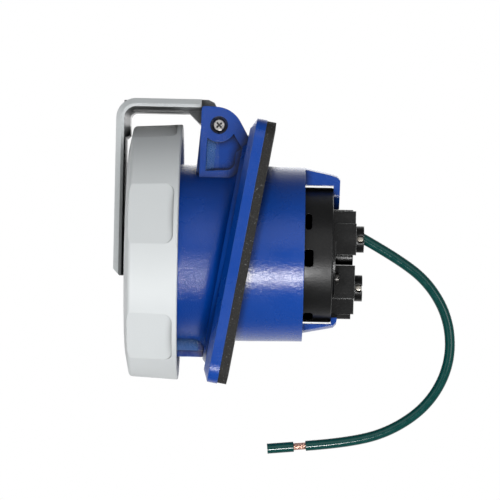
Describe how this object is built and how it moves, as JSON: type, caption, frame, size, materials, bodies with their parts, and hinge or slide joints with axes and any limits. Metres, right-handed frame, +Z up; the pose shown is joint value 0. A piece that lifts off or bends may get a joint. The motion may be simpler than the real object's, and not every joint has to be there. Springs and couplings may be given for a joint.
{
  "type": "pin and sleeve receptacle",
  "caption": "Panel receptacle with leaning square flange, blue barrel, hinged arm with grey twist cap, black terminal body and one stripped ground lead.",
  "frame": {"origin": "where the barrel axis meets the rear face of the flange gasket, which is the face that lies on the panel", "axes": "+X along the barrel axis, from the cap to the wire terminals behind the panel; +Z up, toward the cap hinge; the hinge is parallel to Y"},
  "size_m": [0.1821, 0.139, 0.1872],
  "materials": {
    "housing_blue": "moulded, slightly glossy blue",
    "gasket_foam": "dark grainy foam",
    "cap_grey": "light warm grey moulding",
    "arm_grey": "light grey moulding",
    "seal_rubber": "black rubber",
    "steel": "zinc plated",
    "thrust_plastic": "white slide washer",
    "insert_black": "glossy black thermoset",
    "contact_brass": "machined brass",
    "spring_steel": "bright spring steel",
    "lead_green": "dark green wire insulation",
    "copper": "bare copper strands"
  },
  "bodies": {
    "receptacle": {"housing": "housing_blue", "flange_gasket": "gasket_foam", "hinge_screw": "steel", "hinge_nut": "steel", "contact_carrier": "insert_black", "ground_sleeve": "contact_brass", "line_1_sleeve": "contact_brass", "line_2_sleeve": "contact_brass", "ground_spring": "spring_steel", "line_1_spring": "spring_steel", "line_2_spring": "spring_steel", "clamp_screws": "steel", "wire_plates": "steel", "terminal_body": "insert_black", "terminal_cover": "insert_black", "cover_screws": "steel", "ground_lead_insulation": "lead_green", "ground_lead_conductor": "copper", "lead_insulation_slug": "lead_green"},
    "arm": {"cap_arm": "arm_grey", "cap_pivot_stud": "steel", "pivot_thrust_washer": "thrust_plastic", "pivot_washer": "steel", "pivot_nut": "steel"},
    "cap": {"cap": "cap_grey", "cap_seal": "seal_rubber"}
  },
  "joints": [
    {"name": "arm_hinge", "type": "hinge", "parent": "receptacle", "child": "arm", "pos_m": [-0.0185, 0, 0.0675], "axis": [0, 1, 0], "range_deg": [0, 115]},
    {"name": "cap_twist", "type": "hinge", "parent": "arm", "child": "cap", "pos_m": [-0.066, 0, 0], "axis": [1, 0, 0], "range_deg": [0, 35]}
  ]
}
